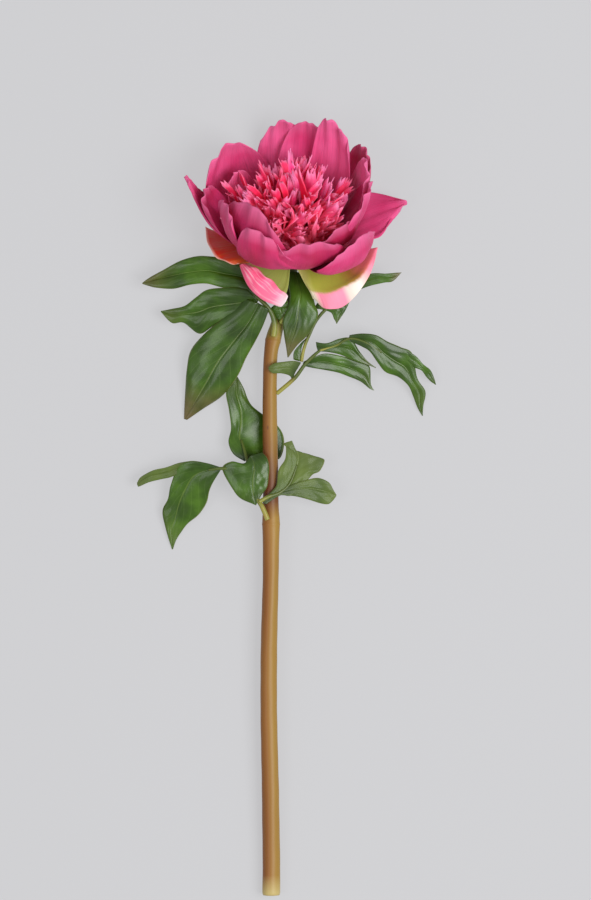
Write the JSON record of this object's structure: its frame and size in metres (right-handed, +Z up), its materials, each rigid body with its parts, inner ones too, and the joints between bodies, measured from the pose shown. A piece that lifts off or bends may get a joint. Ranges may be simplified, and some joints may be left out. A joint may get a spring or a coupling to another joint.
{
  "type": "cut peony stem",
  "caption": "Cut peony lying on its side: a cupped open bloom of broad petals round a dense tuft, on a bare stalk with lobed compound leaves.",
  "frame": {"origin": "the middle of the whole part's length and width, on the surface it lies on", "axes": "+Z up from the surface, +Y along the stem from the cut end to the bloom, +X to the right of the stem seen from above"},
  "size_m": [0.1814, 0.4676, 0.0824],
  "materials": {
    "stem": "brown-green stalk, satin",
    "calyx": "matt green",
    "lower_petals": "soft petal, pale green to pink",
    "guard_petals": "soft petal, magenta",
    "petaloid_crest": "soft petal, pink red",
    "leaf_left": "glossy green leaf",
    "leaf_front": "glossy green leaf",
    "leaf_right": "glossy green leaf",
    "leaf_under_bloom": "glossy green leaf",
    "leaf_lower": "glossy green leaf"
  },
  "bodies": {
    "root": {"stem": "stem", "calyx": "calyx", "lower_petals": "lower_petals", "guard_petals": "guard_petals", "petaloid_crest": "petaloid_crest", "leaf_left": "leaf_left", "leaf_front": "leaf_front", "leaf_right": "leaf_right", "leaf_under_bloom": "leaf_under_bloom", "leaf_lower": "leaf_lower"}
  },
  "joints": []
}
